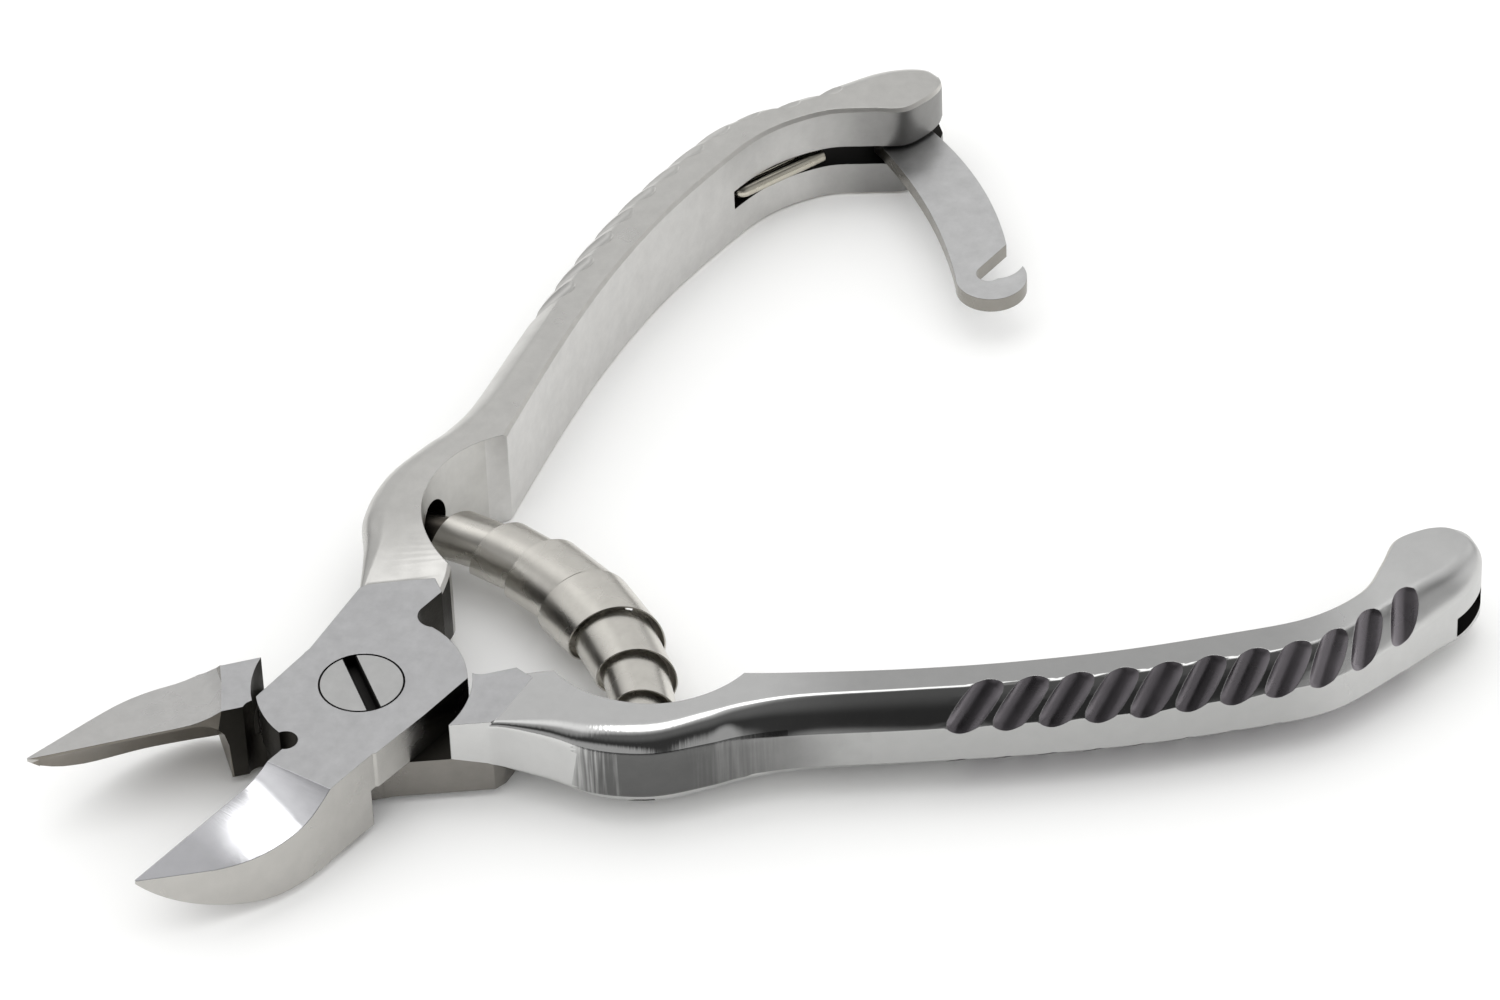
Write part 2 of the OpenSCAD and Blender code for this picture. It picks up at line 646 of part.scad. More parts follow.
// Catch plate with its pin at the origin and its hook reaching along -Y
module catch_outline() {
  notch = [notch_x, -catch_l];
  notch_r = striker_r + hook_gap;
  arm_in = catch_l * 0.078;
  arm_out = catch_l * 0.153;
  arc_r = catch_l * 1.57;
  inner_r = catch_l * 2.2;
  finger_r = hook_r * 0.88;
  difference() {
    union() {
      circle(catch_root_r);
      difference() {
        intersection() {
          translate([arm_out - arc_r, -catch_l / 2])
            circle(arc_r, $fn = 180);
          polygon([[-catch_root_r * 0.86, -catch_root_r * 0.36], [-hook_r * 1.1, -catch_l * 0.16],
            [-hook_r * 1.1, -catch_l - hook_r * 0.18], [notch[0], -catch_l], [arm_out * 1.4, -catch_l * 0.82],
            [arm_out * 1.4, -catch_l * 0.23], [catch_root_r * 0.79, -catch_root_r * 0.36]]);
        }
        translate([-arm_in - inner_r, -catch_l * 0.48])
          circle(inner_r, $fn = 180);
      }
      translate([-hook_r * 0.1, -catch_l - hook_r * 0.18])
        circle(hook_r);
    }
    translate(notch)
      circle(notch_r);
    polygon([[notch[0] - notch_r * 0.55, notch[1] + notch_r * 0.84], [arm_out * 1.4, notch[1] + arm_out * 1.3],
      [arm_out * 1.4, notch[1]], [notch[0], notch[1]]]);
    intersection() {
      translate([notch[0] + hook_r * 0.36, notch[1] + finger_r - notch_r])
        circle(finger_r);
      translate([notch[0], notch[1] - hook_r])
        square(hook_r + 0.001 * catch_l);
    }
  }
}
module lock_catch() {
  color(steel)
    swing_catch_side()
      translate([catch_pin_xy[0], catch_pin_xy[1], mid_z - catch_t / 2])
        rotate([0, 0, -catch_swing])
          difference() {
            linear_extrude(catch_t)
              catch_outline();
            translate([0, 0, -catch_t])
              cylinder(r = catch_pin_r + run_gap, h = 3 * catch_t);
          }
}
module catch_pin() {
  color(dark_steel)
    swing_catch_side()
      translate([catch_pin_xy[0], catch_pin_xy[1], pin_low])
        cylinder(r = catch_pin_r, h = pin_high - pin_low);
}
module striker_pin() {
  color(dark_steel)
    swing_plain_side()
      translate([striker_xy[0], striker_xy[1], pin_low])
        cylinder(r = striker_r, h = pin_high - pin_low);
}

// Hairpin of round wire that lies in the slot behind the catch
module catch_spring() {
  bend_r = leg_space / 2;
  leg_l = tail_l * 0.495;
  floor_y = tail_y + catch_side_bow * 0.6 + slot_depth;
  color(dark_steel)
    swing_catch_side()
      translate([tail_x - tail_l * 0.13, floor_y - bend_r - wire_r * 2, mid_z])
        rotate([0, 0, -16.5]) {
          rotate([0, 0, 90])
            rotate_extrude(angle = 180, $fn = 48)
              translate([bend_r, 0])
                circle(wire_r, $fn = 24);
          for (side = [-1, 1])
            translate([0, side * bend_r, 0])
              rotate([0, 90, 0])
                cylinder(r = wire_r, h = leg_l, $fn = 24);
        }
}

catch_lever();
plain_lever();
pivot_screw();
barrel_spring();
rear_spring_stud();
front_spring_stud();
lock_catch();
catch_pin();
catch_spring();
striker_pin();
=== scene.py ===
"""The looks of the nail nipper: its steel finishes, a finer spring strip, a white table and the
photograph's camera."""
import math

import bmesh
import bpy
from mathutils import Matrix, Vector


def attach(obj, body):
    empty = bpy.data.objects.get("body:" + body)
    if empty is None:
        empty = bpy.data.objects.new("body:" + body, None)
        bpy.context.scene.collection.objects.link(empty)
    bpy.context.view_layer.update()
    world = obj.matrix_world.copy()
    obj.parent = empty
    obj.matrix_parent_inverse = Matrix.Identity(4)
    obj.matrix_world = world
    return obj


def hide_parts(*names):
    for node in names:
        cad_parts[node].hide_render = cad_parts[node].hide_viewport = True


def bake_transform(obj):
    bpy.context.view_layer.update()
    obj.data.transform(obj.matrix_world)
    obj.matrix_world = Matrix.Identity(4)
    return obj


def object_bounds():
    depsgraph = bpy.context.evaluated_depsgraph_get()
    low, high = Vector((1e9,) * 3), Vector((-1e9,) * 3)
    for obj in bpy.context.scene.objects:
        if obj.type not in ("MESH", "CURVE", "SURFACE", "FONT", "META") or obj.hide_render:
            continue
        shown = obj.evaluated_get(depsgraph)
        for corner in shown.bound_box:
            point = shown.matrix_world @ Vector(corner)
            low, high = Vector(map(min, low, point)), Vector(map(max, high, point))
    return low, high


MM = 0.001

# Sizes in mm and radians, as in the part's source
OPEN_HALF = math.radians(18.2)
JOINT_T = 8.6
MID = JOINT_T / 2
LAP_WALL_R = 10.55
SLOT_HALF = 1.15
JAW_ROOT, JAW_TIP, JAW_W = 14.5, 32.8, 7.35
JAW_POINT = math.radians(28.8)
SOCKET_ARM, SOCKET_TURN = 28.0, math.radians(30.2)
STRIP_W, STRIP_T, STRIP_STEP = 6.1, 0.16, 0.63
STRIP_END_R, STRIP_HALF_TURNS, STRIP_BOW = 2.3, 3.5, 7.2

# Where the finishes of a closed lever begin and end, in mm from the pivot
HOLLOW_X, FACET_X, JAW_X = -13.1, -9.6, -9
NECK_X, HEEL_X, GRIP_X, GROOVES_X, SLOT_X = 12, 17, 33, 45, 80
BORE_R, LOBE_R, LAP_R = 5, 10.4, 12
JAW_WALL_X, JAW_WALL_Y = (-13.4, -8.5), -5
HEEL_WALL_X, HEEL_WALL_Y = (9.5, HEEL_X), 4.5
FLANK_X, FLANK_Z = (JAW_X, HEEL_X + 0.5), 0.1
HEEL_SIDE_X = (HEEL_X, GROOVES_X)
SOCKET, SOCKET_R = (25.2, 13.4), 4.4
SCOOP, SCOOP_R = (28.5, 2.4), 10.85
# How far the lap's floors lie from the middle and its faceted walls from their radius, in mm
LAP_STEP, LAP_WALL_STEP = 0.2, 0.08
# The hollow behind the cutting edge: a share of the jaw's width, less a rim in mm
CUT_SHARE, CUT_RIM = 0.92, 0.42

# How much of a face's normal points up or down: a flat top, a level face, the jaw's facet, a slope,
# the heel's side, a face that stands, a wall; and the handle's inner edges
FLAT, LEVEL, FACET_LEAN, SLOPE, HEEL_LEAN, STANDING, WALL = 0.99, 0.9, 0.75, 0.5, 0.45, 0.3, 0.2
EDGE_LEAN = (STANDING, 0.97)
# How much of it points away from the other lever: the socket's mouth, the heel's side, the lap's
# wall by the heel, the handle's inner edges, the handle's inside
MOUTH_OUT, HEEL_OUT, HEEL_WALL_OUT, EDGE_OUT, INSIDE_OUT = 0.75, 0.3, -0.2, -0.3, -0.5

# Lengths that count as none: in metres for joined points, in mm for faces that lie in one plane
WELD = 2e-6
NEAR = 0.02

# The slant around the screw's head, and how deep a face may lie and still be its top, in mm
RIM_SLANT, FLUSH = 0.14, 0.1

# The turn in degrees past which an edge stays sharp, on forged pieces and on small round ones
FORGED_SHARP, ROUND_SHARP = 28, 40

# How slowly a hand-held wheel's swirls and the haze of handling change over the steel, in mm
SWIRL, HAZE = 4.5, 1.7
# The size of a coarse wheel's upright marks along x, y and z, and how far apart they end, in mm
MARK, MARK_REACH = (0.31, 2, 8.3), 8
# The values between which most of a noise lies, and the least roughness of any steel
NOISE_LOW, NOISE_HIGH = 0.3, 0.7
SMOOTHEST = 0.02

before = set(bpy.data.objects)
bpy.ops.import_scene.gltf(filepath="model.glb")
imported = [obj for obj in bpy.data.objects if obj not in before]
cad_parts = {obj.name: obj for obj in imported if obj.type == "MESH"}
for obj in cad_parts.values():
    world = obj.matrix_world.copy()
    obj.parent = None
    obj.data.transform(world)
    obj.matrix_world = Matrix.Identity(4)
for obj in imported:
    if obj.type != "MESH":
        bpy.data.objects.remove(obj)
cad_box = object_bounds()
table_z = cad_box[0][2]


def linear(hex_colour):
    """A colour written as sRGB hex, in linear light."""
    parts = [int(hex_colour[i:i + 2], 16) / 255 for i in (0, 2, 4)]
    return [*(c / 12.92 if c <= 0.04045 else ((c + 0.055) / 1.055) ** 2.4 for c in parts), 1]


def add(tree, kind, **inputs):
    """A node with its settings and inputs; an input is a value or another node's output."""
    node = tree.nodes.new(kind)
    for name, value in inputs.items():
        key = name.replace("_", " ")
        if name[:2] == "in" and name[2:].isdigit():
            key = int(name[2:])
        elif hasattr(node, name) and key not in node.inputs:
            setattr(node, name, value)
            continue
        if isinstance(value, bpy.types.NodeSocket):
            tree.links.new(value, node.inputs[key])
        else:
            node.inputs[key].default_value = value
    return node.outputs[0] if len(node.outputs) else node


def steel(name, colour, rough, grain=(1, 1, 1), depth=0.0, turn=0.0, swirl=0.06, haze=0.1,
          worn=0.12, upright=None, tones=(), satin=None):
    """A steel finish, with every size in mm.

    grain is the size of its wheel lines along x, y and z, and depth their height; turn is the way
    that x runs, in degrees. swirl and haze are how far roughness and colour wander, and worn is
    the radius of its worn edges. tones holds a start and an end along x and the share that the
    colour changes by between them; satin is a start, an end and the roughness gained. upright is
    the start and end of where coarse wheel marks fade out, and their height; before that, tones
    begin in streaks.
    """
    mat = bpy.data.materials.new(name)
    mat.use_nodes = True
    tree = mat.node_tree
    shader = tree.nodes["Principled BSDF"]
    shader.inputs["Metallic"].default_value = 1.0
    coords = tree.nodes.new("ShaderNodeTexCoord").outputs["Object"]
    spot = add(tree, "ShaderNodeMapping", Vector=coords, Rotation=(0, 0, math.radians(-turn)),
               Scale=[1 / MM] * 3)
    along = add(tree, "ShaderNodeSeparateXYZ", Vector=spot)

    swirls = add(tree, "ShaderNodeTexNoise", Vector=spot, Scale=1 / SWIRL, Detail=3.0)
    roughness = add(tree, "ShaderNodeMapRange", Value=swirls, From_Min=NOISE_LOW,
                    From_Max=NOISE_HIGH, To_Min=max(SMOOTHEST, rough - swirl),
                    To_Max=rough + swirl)
    if satin:
        start, end, gain = satin
        gained = add(tree, "ShaderNodeMapRange", Value=along, From_Min=start, From_Max=end,
                     To_Max=gain, interpolation_type="SMOOTHSTEP")
        roughness = add(tree, "ShaderNodeMath", operation="ADD", in0=roughness, in1=gained)
    tree.links.new(roughness, shader.inputs["Roughness"])

    streaks = along
    if upright:
        start, end, height = upright
        marks = add(tree, "ShaderNodeMapping", Vector=spot, Scale=[1 / size for size in MARK])
        marks = add(tree, "ShaderNodeTexNoise", Vector=marks, Scale=1.0, Detail=2.0)
        fade = add(tree, "ShaderNodeMapRange", Value=along, From_Min=start, From_Max=end,
                   To_Min=1.0, To_Max=0.0, interpolation_type="SMOOTHSTEP")
        faded = add(tree, "ShaderNodeMath", operation="MULTIPLY", in0=marks, in1=fade)
        streaks = add(tree, "ShaderNodeMath", operation="MULTIPLY_ADD", in0=faded,
                      in1=MARK_REACH, in2=along)

    clouds = add(tree, "ShaderNodeTexNoise", Vector=spot, Scale=1 / HAZE, Detail=5.0,
                 Roughness=0.65)
    shade = add(tree, "ShaderNodeMapRange", Value=clouds, From_Min=NOISE_LOW,
                From_Max=NOISE_HIGH, To_Min=1 - haze, To_Max=1.0)
    for start, end, share in tones:
        tone = add(tree, "ShaderNodeMapRange", Value=streaks, From_Min=start, From_Max=end,
                   To_Min=1.0, To_Max=share, interpolation_type="SMOOTHSTEP")
        shade = add(tree, "ShaderNodeMath", operation="MULTIPLY", in0=shade, in1=tone)
    tint = add(tree, "ShaderNodeVectorMath", operation="SCALE", in0=linear(colour)[:3],
               Scale=shade)
    tree.links.new(tint, shader.inputs["Base Color"])

    normal = add(tree, "ShaderNodeBevel", Radius=worn * MM, samples=6)
    if depth:
        lines = add(tree, "ShaderNodeMapping", Vector=spot, Scale=[1 / size for size in grain])
        lines = add(tree, "ShaderNodeTexNoise", Vector=lines, Scale=1.0, Detail=4.0)
        normal = add(tree, "ShaderNodeBump", Height=lines, Normal=normal, Strength=1.0,
                     Distance=depth * MM)
    if upright:
        normal = add(tree, "ShaderNodeBump", Height=marks, Normal=normal, Strength=fade,
                     Distance=height * MM)
    tree.links.new(normal, shader.inputs["Normal"])
    return mat


# The lines of the wheels are about 0.05 mm wide on the real steel, and are drawn three to five
# times as wide to show.
# Stainless steel, surface-ground flat: an even grey sheen with faint straight lines across the
# joint.
PLATE = steel("stainless_ground_plate", "c3c3c4", 0.36, grain=(2.1, 0.25, 0.62), depth=0.005,
              turn=40, haze=0.14)
# Stainless steel, hollow-ground and buffed: a soft mirror that gathers the lamp into one bright
# band.
REAR_FACET = steel("stainless_buffed_facet", "c9c9cc", 0.13, grain=(0.16, 2.7, 0.4), depth=0.003,
                   turn=25, haze=0.05)
# Stainless steel, hollow-ground only: a dull sheen that runs across the jaw.
FRONT_FACET = steel("stainless_ground_facet", "cccbc9", 0.3, grain=(0.16, 2, 0.4), depth=0.005,
                    turn=-15)
# Stainless steel, belt-polished: a smooth side that takes up the white of the table.
JAW_SIDE = steel("stainless_belt_polished_jaw", "bdbbb7", 0.24, haze=0.08)
# Stainless steel, hollow-ground behind the cutting edge: a duller grey, painted darker as
# painted shade in the hollow.
JAW_HOLLOW_SHADE = steel("stainless_hollow_ground_jaw_painted_shade", "8d8880", 0.36)
# Stainless steel, milled inside the lap, with a coarse grain: painted nearly black as painted
# shade, here and on the walls beside the jaw and the heel.
LAP_SHADE = steel("stainless_milled_lap_painted_shade", "3b3935", 0.5, grain=(0.25, 0.25, 0.25), depth=0.02,
            swirl=0.12)
# Stainless steel, forged and lightly blasted beside the lap: mid grey and cloudy.
LAP_FLANK = steel("stainless_blasted_flank", "8b8883", 0.3, haze=0.12)
# Stainless steel, satin-brushed along the handle: soft highlights stretched along it. Its colour
# is painted darker on the heel by the lap, as painted shade that dims the lamp's glare there.
REAR_HANDLE = steel("stainless_brushed_handle_heel_shade", "b6b5b2", 0.33, grain=(2.5, 0.25, 0.25),
                    depth=0.004, turn=34, tones=((14, 27, 1.28),))
# Stainless steel, buffed to a mirror on the grip, with upright wheel marks on the heel and a
# satin tail: black and white bands that run along the handle. Its colour is painted lighter on
# the heel as a painted highlight, and is lighter again at the tail.
FRONT_HANDLE = steel("stainless_buffed_handle_heel_highlight", "cdcdcc", 0.1, turn=-34, swirl=0.03, haze=0.05,
                     upright=(25, 36, 0.02), tones=((37, 49, 0.7), (86, 98, 1.38)),
                     satin=(86, 98, 0.24))
# Stainless steel on the outside of the heel, with upright wheel streaks: painted dark between the
# streaks as a painted dark reflection, and lighter again towards the grip.
FRONT_HEEL_DARK_REFLECTION = steel("stainless_heel_painted_dark_reflection", "cdcdcc", 0.14, turn=-34, swirl=0.04, haze=0.1,
                   upright=(33, 42, 0.02), tones=((22, 28, 0.2), (35, 48, 3.5)))
# Stainless steel, linished on a belt: a flat, pale face with fine level lines, painted darker by
# the slot as painted shade.
HANDLE_INSIDE = steel("stainless_linished_inside_slot_shade", "d8d7d5", 0.4, grain=(2.5, 2.5, 0.17),
                      depth=0.005, tones=((80, 90, 0.42),))
# Stainless steel along the handle's inner edges: painted pale as a thin painted highlight line.
HANDLE_EDGE_HIGHLIGHT = steel("stainless_edge_painted_highlight", "dcdad6", 0.55)
# Stainless steel, slotted with a cutter: painted nearly black as painted shade in the deep cut,
# the bore and the spring's sockets.
SLOT_SHADE = steel("stainless_milled_slot_painted_shade", "2b2927", 0.55)
# Stainless steel, ground with a small round wheel: hollows with a rough glint, painted dark
# violet-grey as painted shade and lighter towards the tail.
FRONT_GROOVE_SHADE = steel("stainless_wheel_cut_groove_painted_shade", "767276", 0.3, grain=(0.17, 0.17, 0.17),
                     depth=0.01, turn=-34, swirl=0.1, tones=((80, 94, 1.5),))
# Stainless steel, wheel-cut and then brushed over: pale hollows.
REAR_GROOVE = steel("stainless_brushed_groove", "d0cfcc", 0.34)
# Stainless sheet, blanked and tumbled: a flat even grey face.
CATCH_FACE = steel("stainless_tumbled_sheet", "d0d0d0", 0.36, grain=(0.67, 0.67, 0.33),
                   depth=0.003, haze=0.14)
# Stainless sheet, the sheared edge: a warmer, darker rim.
CATCH_EDGE = steel("stainless_sheared_edge", "94918b", 0.3)
# Stainless bar, turned and ground flush with the plate: the plate's sheen, with its lines another
# way.
SCREW_FACE = steel("stainless_turned_screw", "c0c0bf", 0.38, grain=(0.17, 1.7, 0.5), depth=0.004,
                   turn=40)
# Stainless bar, the screw's cut slot, its rim and its sides: painted black as painted shade.
SCREW_SHADE = steel("stainless_screw_slot_painted_shade", "2c2b2a", 0.5)
# Spring steel, cold-rolled strip: warm and bright, with a faint ripple from the rolls.
STRIP = steel("spring_steel_rolled_strip", "d6d3cc", 0.28, grain=(0.67, 0.67, 0.67), depth=0.006,
              worn=0.05)
# Spring steel, drawn wire: warm and bright along its length.
WIRE = steel("spring_steel_drawn_wire", "d2cdbf", 0.24)
# Stainless bar, turned: painted a dull brown-grey as painted shade in the depth of its hole.
PIN_SHADE = steel("stainless_turned_pin_painted_shade", "6a655e", 0.4)


def shade_smooth(bm, sharp):
    """Smooth shading, broken at edges that turn by more than an angle in degrees."""
    for face in bm.faces:
        face.smooth = True
    for edge in bm.edges:
        if len(edge.link_faces) == 2:
            edge.smooth = edge.calc_face_angle(0.0) < math.radians(sharp)


def dressed_copy(node, name, body, sharp=FORGED_SHARP):
    """The CAD node's own mesh as a new piece: its loose triangles joined, smooth except at its
    real edges."""
    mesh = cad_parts[node].data.copy()
    mesh.name = name
    mesh.materials.clear()
    bm = bmesh.new()
    bm.from_mesh(mesh)
    bmesh.ops.remove_doubles(bm, verts=bm.verts, dist=WELD)
    bmesh.ops.dissolve_degenerate(bm, edges=bm.edges, dist=WELD / 2)
    bmesh.ops.recalc_face_normals(bm, faces=bm.faces)
    shade_smooth(bm, sharp)
    bm.to_mesh(mesh)
    bm.free()
    if mesh.attributes.get("custom_normal"):
        mesh.attributes.remove(mesh.attributes["custom_normal"])
    piece = bpy.data.objects.new(name, mesh)
    bpy.context.scene.collection.objects.link(piece)
    piece.modifiers.new("level_shading", "WEIGHTED_NORMAL").keep_sharp = True
    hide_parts(node)
    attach(piece, body)
    return piece


def slant_rim(piece, width, flat=0.2):
    """Cuts a narrow slant around the top of a round piece, its width in mm; triangles that turn
    by less than flat degrees are first joined to whole faces."""
    bm = bmesh.new()
    bm.from_mesh(piece.data)
    bmesh.ops.dissolve_limit(bm, angle_limit=math.radians(flat), verts=bm.verts, edges=bm.edges)
    top = max(v.co.z for v in bm.verts) - WELD / 2
    rim = max(v.co.xy.length for v in bm.verts if v.co.z > top) - NEAR * MM
    round_top = [e for e in bm.edges
                 if all(v.co.z > top and v.co.xy.length > rim for v in e.verts)]
    bmesh.ops.bevel(bm, geom=round_top, offset=width * MM, offset_type="OFFSET", segments=1,
                    profile=0.5, affect="EDGES", material=-1)
    bm.to_mesh(piece.data)
    bm.free()


def wheel_cuts(mesh, largest=40, hollow=0.2):
    """Faces of the small hollows that sharp edges close off; largest is their area and hollow
    their depth, in mm."""
    bm = bmesh.new()
    bm.from_mesh(mesh)
    seen, cuts = set(), set()
    for first in bm.faces:
        patch, waiting = [], [first]
        while waiting:
            face = waiting.pop()
            if face.index not in seen:
                seen.add(face.index)
                patch.append((face.index, face.calc_center_median() / MM, face.normal,
                              face.calc_area() / MM ** 2))
                waiting += [f for e in face.edges if e.smooth
                            for f in e.link_faces if f.index not in seen]
        whole = sum(area for _, _, _, area in patch)
        if 0 < whole < largest:
            middle = sum((centre * area for _, centre, _, area in patch), Vector()) / whole
            bulge = sum((centre - middle).dot(normal) * area for _, centre, normal, area in patch)
            if bulge / whole < -hollow:
                cuts.update(index for index, _, _, _ in patch)
    bm.free()
    return cuts


def paint(piece, materials, choose):
    """Gives every face the material that choose names for its index, centre, normal and corners,
    in mm."""
    names = list(materials)
    mesh = piece.data
    for name in names:
        mesh.materials.append(materials[name])
    for face in mesh.polygons:
        corners = [mesh.vertices[i].co / MM for i in face.vertices]
        finish = choose(face.index, face.center / MM, face.normal, corners)
        face.material_index = names.index(finish)


def jaw_width(x):
    """Width of a jaw at a distance from the pivot, as in the part's source."""
    straight = JAW_W / math.tan(JAW_POINT)
    radius = (JAW_TIP - JAW_ROOT - straight) * math.sin(JAW_POINT) / (1 - math.cos(JAW_POINT))
    if x < JAW_ROOT:
        return JAW_W
    if x < JAW_ROOT + radius * math.sin(JAW_POINT):
        return JAW_W - radius + math.sqrt(radius * radius - (x - JAW_ROOT) ** 2)
    return (JAW_TIP - x) * math.tan(JAW_POINT)


def within(value, limits):
    """Whether a value lies between two limits."""
    return limits[0] < value < limits[1]


def lever_finishes(piece, side):
    """Names the finish of a lever's face; side is 1 for the rear lever and -1 for the front one.

    The lever is turned to where it lies when closed, with y away from the other lever, z from its
    middle and out the share of the face's normal along y.
    """
    closed = Matrix.Rotation(-side * OPEN_HALF, 3, "Z")
    cuts = wheel_cuts(piece.data)

    def choose(index, centre, normal, corners):
        c, n = closed @ centre, closed @ normal
        x, y, z, out = c.x, side * c.y, c.z - MID, side * n.y
        r, lean = math.hypot(x, y), abs(n.z)
        # The tail's slot, the bore and the spring's sockets take the slot's painted shade.
        if x > SLOT_X and all(abs(abs(v.z - MID) - SLOT_HALF) < NEAR / 2 for v in corners):
            return "slot"
        # The lap's floors and walls, and the walls beside the jaw and the heel, take the lap's
        # painted shade.
        if r < LAP_R and abs(z) < LAP_STEP and lean > LEVEL:
            return "lap"
        if n.z > FLAT and abs(z - MID) < NEAR:
            return "plate"
        if x < FACET_X and n.z > FACET_LEAN and z > 0:
            return "facet"
        # The hollow behind the cutting edge takes its painted shade.
        if x < HOLLOW_X and -y < jaw_width(-x) * CUT_SHARE - CUT_RIM and n.z < SLOPE:
            return "hollow"
        jaw_wall = within(x, JAW_WALL_X) and y > JAW_WALL_Y
        heel_wall = within(x, HEEL_WALL_X) and y < HEEL_WALL_Y and out < HEEL_WALL_OUT
        if lean < STANDING and (jaw_wall or heel_wall):
            return "lap"
        if abs(r - LAP_WALL_R) < LAP_WALL_STEP and lean < WALL and n.x * x + out * y < 0:
            return "lap"
        if r < BORE_R and lean < SLOPE:
            return "slot"
        if side < 0 and within(x, FLANK_X) and z < FLANK_Z and lean < STANDING:
            return "flank"
        if x < JAW_X or (r < LOBE_R and lean < WALL):
            return "jaw"
        in_socket = math.hypot(x - SOCKET[0], y - SOCKET[1]) < SOCKET_R and abs(z) < STRIP_W / 2
        past_scoop = math.hypot(x - SCOOP[0], y - SCOOP[1]) > SCOOP_R
        if in_socket and past_scoop and out < MOUTH_OUT:
            return "slot"
        # The handle's inside takes its painted shade by the slot.
        if x > GRIP_X and out < INSIDE_OUT and lean < STANDING:
            return "inside"
        # The handle's inner edges take their painted highlight.
        if x > NECK_X and out < EDGE_OUT and within(lean, EDGE_LEAN):
            return "edge"
        # The outside of the front heel takes its painted dark reflection.
        if side < 0 and within(x, HEEL_SIDE_X) and out > HEEL_OUT and lean < HEEL_LEAN:
            return "heel"
        # The grooves of the front lever take their painted shade.
        return "groove" if x > GROOVES_X and index in cuts else "handle"

    return choose


forged = {"lap": LAP_SHADE, "plate": PLATE, "jaw": JAW_SIDE, "hollow": JAW_HOLLOW_SHADE, "flank": LAP_FLANK,
          "slot": SLOT_SHADE, "inside": HANDLE_INSIDE, "edge": HANDLE_EDGE_HIGHLIGHT}
rear = dressed_copy("catch_lever", "rear_lever", "rear")
paint(rear, {**forged, "facet": REAR_FACET, "handle": REAR_HANDLE, "groove": REAR_GROOVE},
      lever_finishes(rear, 1))
front = dressed_copy("plain_lever", "front_lever", "front")
paint(front, {**forged, "facet": FRONT_FACET, "handle": FRONT_HANDLE, "heel": FRONT_HEEL_DARK_REFLECTION,
              "groove": FRONT_GROOVE_SHADE}, lever_finishes(front, -1))

catch = dressed_copy("lock_catch", "hook_catch", "catch")
paint(catch, {"flat": CATCH_FACE, "edge": CATCH_EDGE},
      lambda i, c, n, v: "flat" if abs(n.z) > LEVEL else "edge")
screw = dressed_copy("pivot_screw", "slotted_screw", "front")
slant_rim(screw, RIM_SLANT)
# The screw's flush top keeps its face; its slot, rim and sides take the painted shade.
paint(screw, {"face": SCREW_FACE, "dark": SCREW_SHADE},
      lambda i, c, n, v: "face" if n.z > LEVEL and c.z > JOINT_T - FLUSH else "dark")
# The pins and studs take the pin's painted shade; the hairpin wire keeps its own colour.
for node, name, body, slot, finish in (
        ("catch_pin", "catch_pin_steel", "rear", "turned_steel", PIN_SHADE),
        ("striker_pin", "striker_pin_steel", "front", "turned_steel", PIN_SHADE),
        ("rear_spring_stud", "rear_stud_steel", "rear", "turned_steel", PIN_SHADE),
        ("front_spring_stud", "front_stud_steel", "front", "turned_steel", PIN_SHADE),
        ("catch_spring", "hairpin_wire", "rear", "spring_steel", WIRE)):
    paint(dressed_copy(node, name, body, ROUND_SHARP), {"all": finish},
          lambda i, c, n, v: "all")


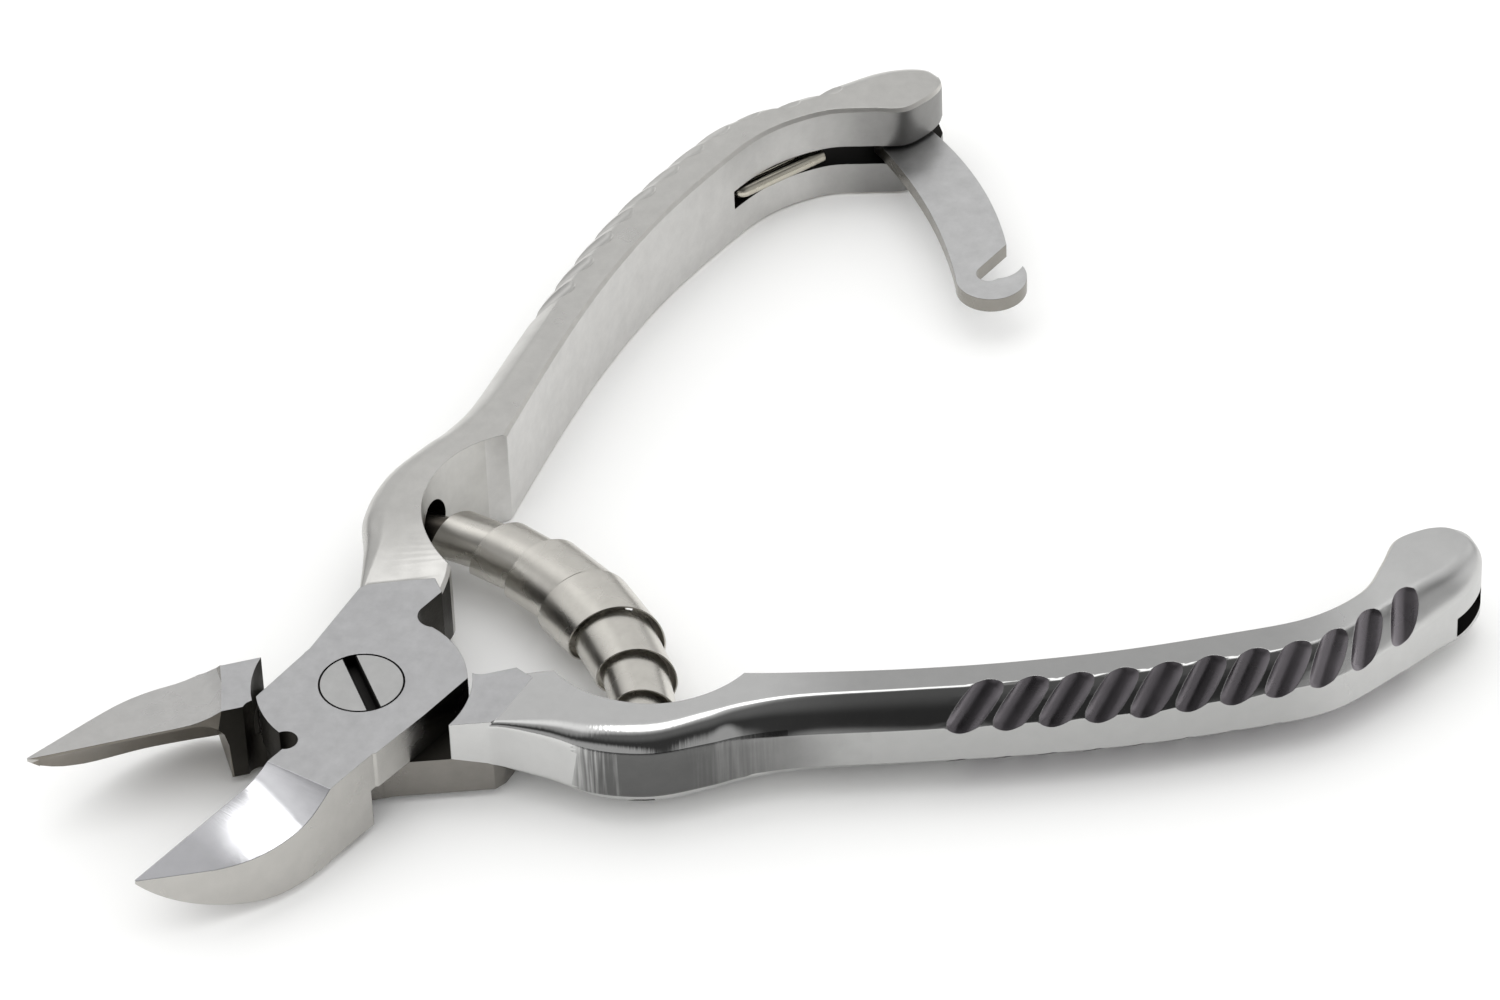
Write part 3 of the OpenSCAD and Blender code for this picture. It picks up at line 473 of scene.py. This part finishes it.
def barrel_strip(lead_share=0.35, end_gap=0.1, drop_turn=0.2, along=672, across=4):
    """One flat strip, wound as two volutes about the bowed line between the two sockets, then
    given its thickness.

    The middle turn leads by a share of the strip's width, the strip ends short of the sockets by
    a gap in mm, and each turn drops to the next radius within a part of a turn. along and across
    are the strip's faces.
    """
    reach = SOCKET_ARM * math.sin(SOCKET_TURN + OPEN_HALF)
    bow_r = (reach * reach + STRIP_BOW * STRIP_BOW) / (2 * STRIP_BOW)
    bow_x = SOCKET_ARM * math.cos(SOCKET_TURN + OPEN_HALF) + STRIP_BOW - bow_r
    line = 2 * math.asin(reach / bow_r) * bow_r - end_gap
    lead = STRIP_W * lead_share
    pitch = (line - STRIP_W - lead) / (2 * STRIP_HALF_TURNS)
    mid_r = STRIP_END_R + STRIP_STEP * (STRIP_HALF_TURNS - 0.5)

    def wound(turns, edge):
        """A point on one long edge of the strip, at a number of turns from the middle."""
        place = turns * pitch + lead * min(0.5, max(-0.5, turns)) + edge * STRIP_W / 2
        past = max(0.0, abs(turns) - 0.5)
        drop = min(1.0, past % 1 / drop_turn)
        r = mid_r - STRIP_STEP * (math.floor(past) + drop * drop * (3 - 2 * drop))
        w, a = 2 * math.pi * turns + math.pi, place / bow_r
        d = bow_r + r * math.cos(w)
        return Vector((bow_x + d * math.cos(a), d * math.sin(a), MID + r * math.sin(w)))

    bm = bmesh.new()
    bmesh.ops.create_grid(bm, x_segments=along, y_segments=across, size=1.0)
    for vert in bm.verts:
        turns = vert.co.x * STRIP_HALF_TURNS
        vert.co = wound(turns, -1).lerp(wound(turns, 1), (vert.co.y + 1) / 2) * MM
    bmesh.ops.recalc_face_normals(bm, faces=bm.faces)
    bmesh.ops.solidify(bm, geom=bm.faces[:], thickness=STRIP_T * MM)
    bmesh.ops.recalc_face_normals(bm, faces=bm.faces)
    # The operator makes the strip's rim in any order, so the faces are put in one order.
    bm.verts.index_update()
    bm.faces.sort(key=lambda f: min(v.index for v in f.verts) * len(bm.verts)
                  + max(v.index for v in f.verts))
    shade_smooth(bm, ROUND_SHARP)
    mesh = bpy.data.meshes.new("volute_strip")
    bm.to_mesh(mesh)
    bm.free()
    mesh.materials.append(STRIP)
    piece = bpy.data.objects.new("volute_strip", mesh)
    bpy.context.scene.collection.objects.link(piece)
    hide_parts("barrel_spring")
    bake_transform(piece)


barrel_strip()


def white_table(half=3.0):
    """A matt white sheet under the nipper, wide enough to fill the picture; half its width is in
    metres."""
    bm = bmesh.new()
    bmesh.ops.create_grid(bm, x_segments=1, y_segments=1, size=half,
                          matrix=Matrix.Translation((0, 0, table_z)))
    mesh = bpy.data.meshes.new("table")
    bm.to_mesh(mesh)
    bm.free()
    # Matt paper, uncoated: plain white with no shine.
    paper = bpy.data.materials.new("paper_uncoated_white")
    paper.use_nodes = True
    shader = paper.node_tree.nodes["Principled BSDF"]
    shader.inputs["Base Color"].default_value = linear("fafaf9")
    shader.inputs["Roughness"].default_value = 0.9
    shader.inputs["Specular IOR Level"].default_value = 0.0
    mesh.materials.append(paper)
    table = bpy.data.objects.new("table", mesh)
    bpy.context.scene.collection.objects.link(table)


# The room that the steel shows: a direction, the shares of it where light begins and is full, and
# that light
ROOM = (((0.4, 0.8, 0.8), 0.6, 1.0, 0.76),            # the white wall behind, leaning over
        ((0, 0, 1), 0.7, 0.95, 0.12),                 # the ceiling
        ((-0.5, 0.5, 0.7), 0.8, 0.95, 0.35),          # the ceiling over the far left
        ((-0.8, 0.6, 0), 0.7, 0.95, 0.65),            # the white wall on the far left
        ((0.931, -0.1, 0.35), 0.85, 0.97, 0.6),       # the window on the right
        ((-0.87, -0.5, 0), 0.75, 0.9, 0.45),          # the pale wall on the near left
        ((0.6, -0.8, 0), 0.6, 0.75, 0.45),            # the pale wall on the near right
        ((0.17, 0.25, 0.953), 0.96, 0.992, 1.9))      # the lamp over the joint
# The light of the room's dark side, and the even light that the table gets in place of the room's
IN_FRONT = 0.05
EVEN_LIGHT = 1.09


def room_light():
    """White to the camera, even light to the table, and to the steel a room that is dark straight
    in front."""
    world = bpy.data.worlds.new("studio")
    bpy.context.scene.world = world
    world.use_nodes = True
    tree = world.node_tree
    tree.nodes.clear()
    direction = tree.nodes.new("ShaderNodeTexCoord").outputs["Generated"]
    light = IN_FRONT
    for axis, begins, full, strength in ROOM:
        share = tree.nodes.new("ShaderNodeVectorMath")
        share.operation = "DOT_PRODUCT"
        share.inputs[1].default_value = axis
        tree.links.new(direction, share.inputs[0])
        part = add(tree, "ShaderNodeMapRange", Value=share.outputs["Value"], From_Min=begins,
                   From_Max=full, To_Max=strength, interpolation_type="SMOOTHSTEP")
        light = add(tree, "ShaderNodeMath", operation="ADD", in0=part, in1=light)
    ray = tree.nodes.new("ShaderNodeLightPath")
    change = add(tree, "ShaderNodeMath", operation="SUBTRACT", in0=EVEN_LIGHT, in1=light)
    light = add(tree, "ShaderNodeMath", operation="MULTIPLY_ADD",
                in0=ray.outputs["Is Diffuse Ray"], in1=change, in2=light)
    room = add(tree, "ShaderNodeBackground", Color=linear("fafafa"), Strength=light)
    white = add(tree, "ShaderNodeBackground", Color=linear("ffffff"), Strength=1.0)
    seen = add(tree, "ShaderNodeMixShader", Fac=ray.outputs["Is Camera Ray"], in1=room, in2=white)
    add(tree, "ShaderNodeOutputWorld", Surface=seen)


def softbox(place, target, size, power):
    """A wide lamp over the table that gives the soft shadow; the room's lamp stands for it in the
    steel."""
    lamp = bpy.data.lights.new("top_softbox", "AREA")
    lamp.shape = "RECTANGLE"
    lamp.size, lamp.size_y = size
    lamp.energy = power
    light = bpy.data.objects.new("top_softbox", lamp)
    bpy.context.scene.collection.objects.link(light)
    light.location = place
    light.rotation_euler = (Vector(target) - Vector(place)).to_track_quat("-Z", "Y").to_euler()
    light.visible_glossy = False


def long_lens(place, azimuth, elevation, roll, lens):
    """The photograph's camera, from its measured place and angles in degrees."""
    az, el, roll = (math.radians(a) for a in (azimuth, elevation, roll))
    back = Vector((math.sin(az) * math.cos(el), -math.cos(az) * math.cos(el), math.sin(el)))
    right = (-back).cross(Vector((0, 0, 1))).normalized()
    up = right.cross(-back)
    x = right * math.cos(roll) + up * math.sin(roll)
    y = -right * math.sin(roll) + up * math.cos(roll)
    data = bpy.data.cameras.new("long_lens")
    data.sensor_width, data.lens = 36.0, lens
    data.clip_start, data.clip_end = 0.05, 20.0
    camera = bpy.data.objects.new("long_lens", data)
    bpy.context.scene.collection.objects.link(camera)
    turned = Matrix((x, y, back)).transposed().to_4x4()
    camera.matrix_world = Matrix.Translation(Vector(place)) @ turned
    bpy.context.scene.camera = camera


white_table()
room_light()
softbox(place=(0.02, -0.05, 0.8), target=(0.03, 0.0, 0.0), size=(0.9, 0.7), power=1.2)
long_lens(place=(-0.249586, -0.470982, 0.482920), azimuth=-31.965, elevation=40.466, roll=-2.416,
          lens=180.0)
bpy.context.scene.view_settings.view_transform = "Standard"
